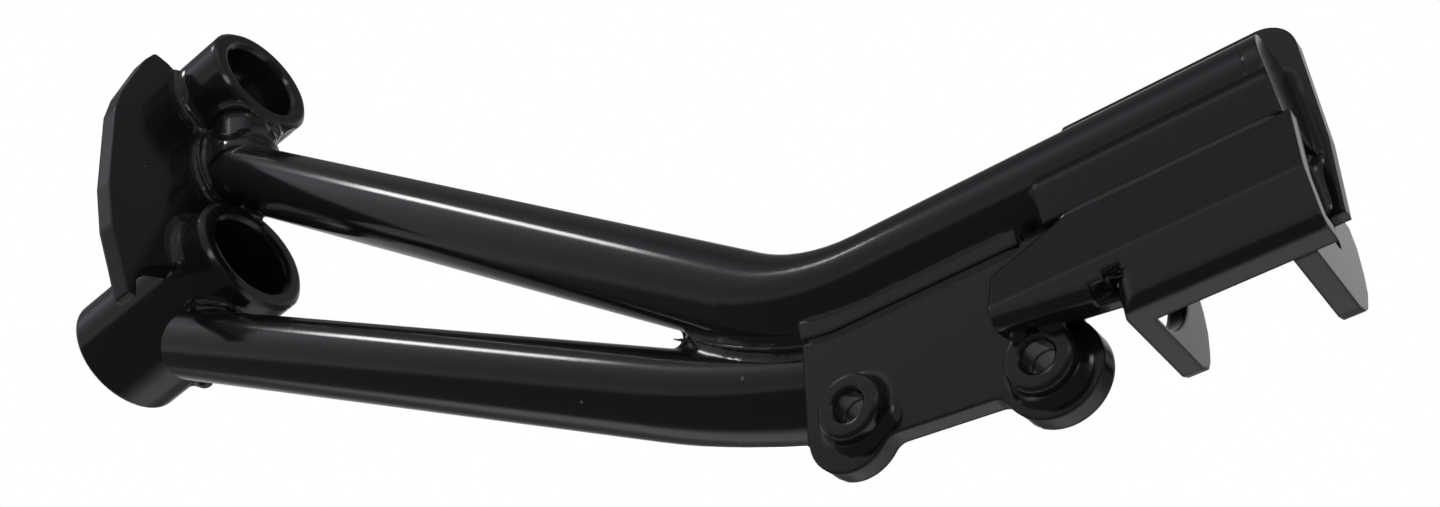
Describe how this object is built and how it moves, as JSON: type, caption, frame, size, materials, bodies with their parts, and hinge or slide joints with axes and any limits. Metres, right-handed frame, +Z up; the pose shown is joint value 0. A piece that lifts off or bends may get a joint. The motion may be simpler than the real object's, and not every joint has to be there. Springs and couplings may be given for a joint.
{
  "type": "footrest bracket",
  "caption": "Welded tube footrest bracket with two side-by-side frame bosses, a bent arm with a lower brace, and a two-eared peg clevis at its end.",
  "frame": {"origin": "middle of the upper boss, on its bore axis", "axes": "+X along the straight end of the arm, +Z up, +Y towards the open side of the peg clevis; the boss bores lean 11 degrees up from +X in the XZ plane"},
  "size_m": [0.3238, 0.0673, 0.2385],
  "materials": {
    "gloss_black": "gloss",
    "weld_black": "gloss over weld ripple"
  },
  "bodies": {
    "root": {"upper_boss": "gloss_black", "lower_boss": "gloss_black", "web_plate": "gloss_black", "upper_tube": "gloss_black", "saddle_stub": "gloss_black", "lower_tube": "gloss_black", "lug_plate": "gloss_black", "front_weld_nut": "gloss_black", "rear_weld_nut": "gloss_black", "crotch_gusset": "gloss_black", "side_plate": "gloss_black", "back_plate": "gloss_black", "rear_ear": "gloss_black", "end_cap": "gloss_black", "upper_web_weld": "weld_black", "lower_web_weld": "weld_black", "arm_web_weld": "weld_black", "saddle_top_weld": "weld_black", "saddle_foot_weld": "weld_black", "brace_foot_weld": "weld_black", "brace_tip_weld": "weld_black", "lug_weld": "weld_black", "side_top_weld": "weld_black", "side_end_weld": "weld_black", "tube_end_weld": "weld_black", "back_plate_weld": "weld_black", "front_nut_weld": "weld_black", "rear_nut_weld": "weld_black"}
  },
  "joints": []
}
